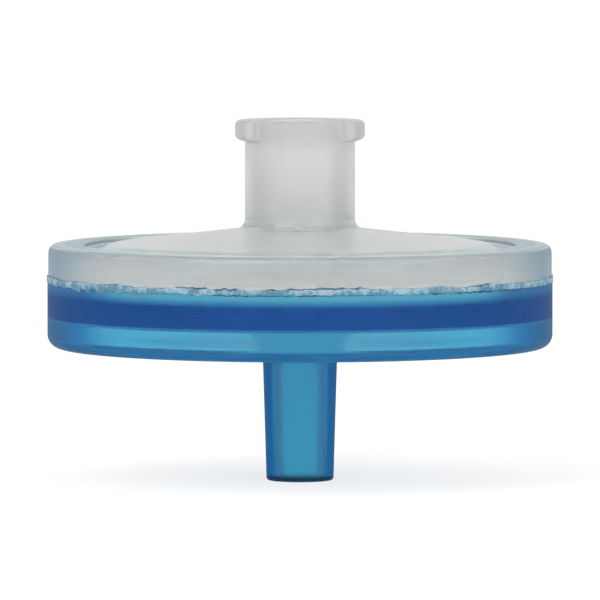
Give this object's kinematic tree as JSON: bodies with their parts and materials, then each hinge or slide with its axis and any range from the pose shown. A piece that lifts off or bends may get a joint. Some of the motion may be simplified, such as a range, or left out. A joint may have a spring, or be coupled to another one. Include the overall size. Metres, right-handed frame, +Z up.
{
  "type": "syringe filter",
  "caption": "Disc-shaped syringe filter: two welded translucent shells around a membrane, luer lock inlet hub above, luer slip outlet tip below.",
  "frame": {"origin": "centre of the outlet tip's end face, the lowest point of the part", "axes": "+Z runs up the common axis from the outlet tip to the inlet hub; the hub's two lock ears lie along X"},
  "size_m": [0.0304, 0.0304, 0.0217],
  "materials": {
    "natural_plastic": "translucent colourless moulded polypropylene, satin",
    "blue_plastic": "translucent blue moulded polypropylene, satin",
    "membrane": "matte porous white"
  },
  "bodies": {
    "root": {"inlet_shell": "natural_plastic", "outlet_shell": "blue_plastic", "membrane": "membrane"}
  },
  "joints": []
}
